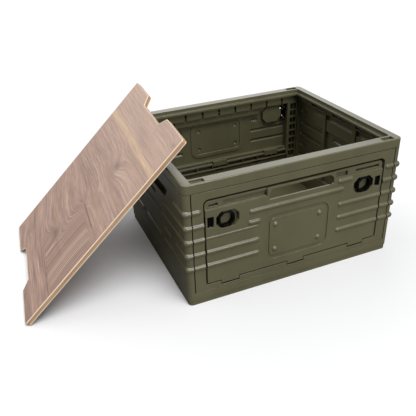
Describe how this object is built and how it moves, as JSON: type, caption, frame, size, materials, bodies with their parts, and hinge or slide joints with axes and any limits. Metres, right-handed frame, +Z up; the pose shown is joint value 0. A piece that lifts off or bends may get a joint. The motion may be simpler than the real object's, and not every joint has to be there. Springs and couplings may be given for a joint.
{
  "type": "folding storage box table",
  "caption": "Collapsible olive plastic storage box with drop-down side doors, slide latches, hinged end panels and a notched wooden lid that doubles as a table top.",
  "frame": {"origin": "on the ground under the middle of the box", "axes": "+X along the length of the box to its right end, +Y from the front door to the back door, +Z up"},
  "size_m": [0.7071, 0.4118, 0.2979],
  "materials": {
    "olive_plastic": "fine spark-eroded moulding texture, olive green",
    "black_plastic": "satin black moulding",
    "steel": "bright zinc plated",
    "wood_laminate": "satin walnut grain laminate",
    "board_core": "fibreboard",
    "edge_band": "light wood edge band"
  },
  "bodies": {
    "base": {"base_tray": "olive_plastic", "front_wall_hinge_rod": "steel", "back_wall_hinge_rod": "steel"},
    "front_wall": {"front_wall_frame": "olive_plastic", "front_door_hinge_pins": "steel"},
    "front_door": {"front_door_panel": "olive_plastic", "front_left_latch_cover": "black_plastic", "front_right_latch_cover": "black_plastic", "front_latch_cover_screws": "steel"},
    "front_left_latch": {"front_left_latch_knob": "black_plastic", "front_left_latch_bolt": "black_plastic"},
    "front_right_latch": {"front_right_latch_knob": "black_plastic", "front_right_latch_bolt": "black_plastic"},
    "back_wall": {"back_wall_frame": "olive_plastic", "back_door_hinge_pins": "steel"},
    "back_door": {"back_door_panel": "olive_plastic", "back_left_latch_cover": "black_plastic", "back_right_latch_cover": "black_plastic", "back_latch_cover_screws": "steel"},
    "back_left_latch": {"back_left_latch_knob": "black_plastic", "back_left_latch_bolt": "black_plastic"},
    "back_right_latch": {"back_right_latch_knob": "black_plastic", "back_right_latch_bolt": "black_plastic"},
    "top_frame": {"top_frame": "olive_plastic", "left_end_panel": "olive_plastic", "right_end_panel": "olive_plastic", "left_end_hinge_rod": "steel", "right_end_hinge_rod": "steel"},
    "lid": {"lid_core": "board_core", "lid_top_laminate": "wood_laminate", "lid_bottom_laminate": "wood_laminate", "lid_edge_band": "edge_band", "lid_locating_blocks": "black_plastic", "lid_block_screws": "steel"}
  },
  "joints": [
    {"name": "front_wall_fold", "type": "hinge", "parent": "base", "child": "front_wall", "pos_m": [0, -0.16, 0.02525], "axis": [-1, 0, 0], "range_deg": [0, 90]},
    {"name": "front_door_open", "type": "hinge", "parent": "front_wall", "child": "front_door", "pos_m": [0, -0.1745, 0.0343], "axis": [1, 0, 0], "range_deg": [0, 98]},
    {"name": "front_left_latch_slide", "type": "slide", "parent": "front_door", "child": "front_left_latch", "axis": [1, 0, 0], "range_m": [-0.0035, 0.0075]},
    {"name": "front_right_latch_slide", "type": "slide", "parent": "front_door", "child": "front_right_latch", "axis": [-1, 0, 0], "range_m": [-0.0035, 0.0075]},
    {"name": "back_wall_fold", "type": "hinge", "parent": "base", "child": "back_wall", "pos_m": [0, 0.16, 0.04725], "axis": [1, 0, 0], "range_deg": [0, 90]},
    {"name": "back_door_open", "type": "hinge", "parent": "back_wall", "child": "back_door", "pos_m": [0, 0.1745, 0.0923], "axis": [-1, 0, 0], "range_deg": [0, 98]},
    {"name": "back_left_latch_slide", "type": "slide", "parent": "back_door", "child": "back_left_latch", "axis": [-1, 0, 0], "range_m": [-0.0035, 0.0075]},
    {"name": "back_right_latch_slide", "type": "slide", "parent": "back_door", "child": "back_right_latch", "axis": [1, 0, 0], "range_m": [-0.0035, 0.0075]},
    {"name": "top_frame_lift", "type": "slide", "parent": "base", "child": "top_frame", "axis": [0, 0, 1], "range_m": [0, 0.25]},
    {"name": "lid_lift", "type": "slide", "parent": "top_frame", "child": "lid", "axis": [0, 0, 1], "range_m": [0, 0.25]}
  ]
}
